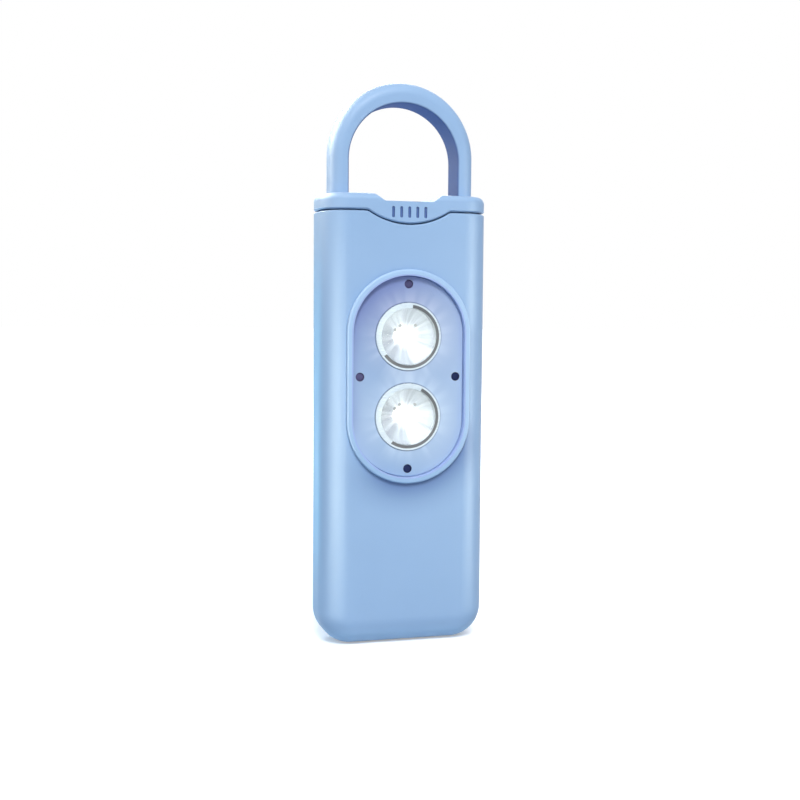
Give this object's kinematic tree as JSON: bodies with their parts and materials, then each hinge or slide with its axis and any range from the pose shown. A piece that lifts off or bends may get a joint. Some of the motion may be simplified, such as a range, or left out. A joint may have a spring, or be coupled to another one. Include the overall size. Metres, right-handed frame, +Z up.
{
  "type": "personal safety alarm",
  "caption": "Slim pocket safety alarm with a shackle on a pull-off cap, strobe lights in a raised oval bezel, a siren grille and a battery door.",
  "frame": {"origin": "on the base, under the middle of the housing's section", "axes": "+Z up along the length towards the shackle, -Y out of the lights, +X to the right seen from the front"},
  "size_m": [0.03, 0.0138, 0.0986],
  "materials": {
    "shell_blue": "satin moulded",
    "plate_lilac": "fine satin",
    "ring_silver": "metallised",
    "reflector_silver": "mirror metallised",
    "lens_clear": "clear",
    "led_white": "diffuse",
    "board_green": "solder mask",
    "inner_black": "moulded",
    "inner_white": "moulded",
    "screw_steel": "plated",
    "cell_metal": "polished can",
    "siren_brass": "rolled",
    "siren_ceramic": "silvered",
    "soft_black": "moulded",
    "lead_red": "insulated",
    "coil_ferrite": "sintered",
    "coil_copper": "enamelled",
    "can_aluminium": "drawn",
    "small_ceramic": "fired"
  },
  "bodies": {
    "housing": {"front_housing": "shell_blue", "back_cover": "shell_blue", "battery_door": "shell_blue", "face_plate": "plate_lilac", "light_ring_upper": "ring_silver", "light_ring_lower": "ring_silver", "reflector_upper": "reflector_silver", "reflector_lower": "reflector_silver", "lens_upper": "lens_clear", "lens_lower": "lens_clear", "led_upper": "led_white", "led_lower": "led_white", "circuit_board": "board_green", "switch_case": "inner_black", "driver_chip": "inner_black", "siren_chamber": "inner_black", "cell_tray": "inner_black", "case_screws": "screw_steel", "door_screw": "screw_steel", "plunger_spring": "screw_steel", "contact_minus": "screw_steel", "contact_plus": "screw_steel", "coin_cell_front": "cell_metal", "coin_cell_back": "cell_metal", "siren_disc": "siren_brass", "siren_ceramic": "siren_ceramic", "siren_gasket": "soft_black", "siren_leads": "lead_red", "coil_core": "coil_ferrite", "coil_winding": "coil_copper", "storage_capacitor": "can_aluminium", "small_parts": "small_ceramic"},
    "pull_cap": {"cap_shell": "shell_blue", "shackle": "shell_blue", "plug_plate": "inner_white", "pull_tongue": "inner_white", "cap_seal": "soft_black", "cap_screws": "screw_steel"},
    "trip_plunger": {"switch_plunger": "inner_white"}
  },
  "joints": [
    {"name": "cap_pull", "type": "slide", "parent": "housing", "child": "pull_cap", "axis": [0, 0, 1], "range_m": [0, 0.022]},
    {"name": "plunger_rise", "type": "slide", "parent": "housing", "child": "trip_plunger", "axis": [0, 0, 1], "range_m": [0, 0.00077], "deforming": ["plunger_spring"]}
  ],
  "couplings": [
    {"joint": "plunger_rise", "follows": "cap_pull", "ratio": 0.035}
  ]
}
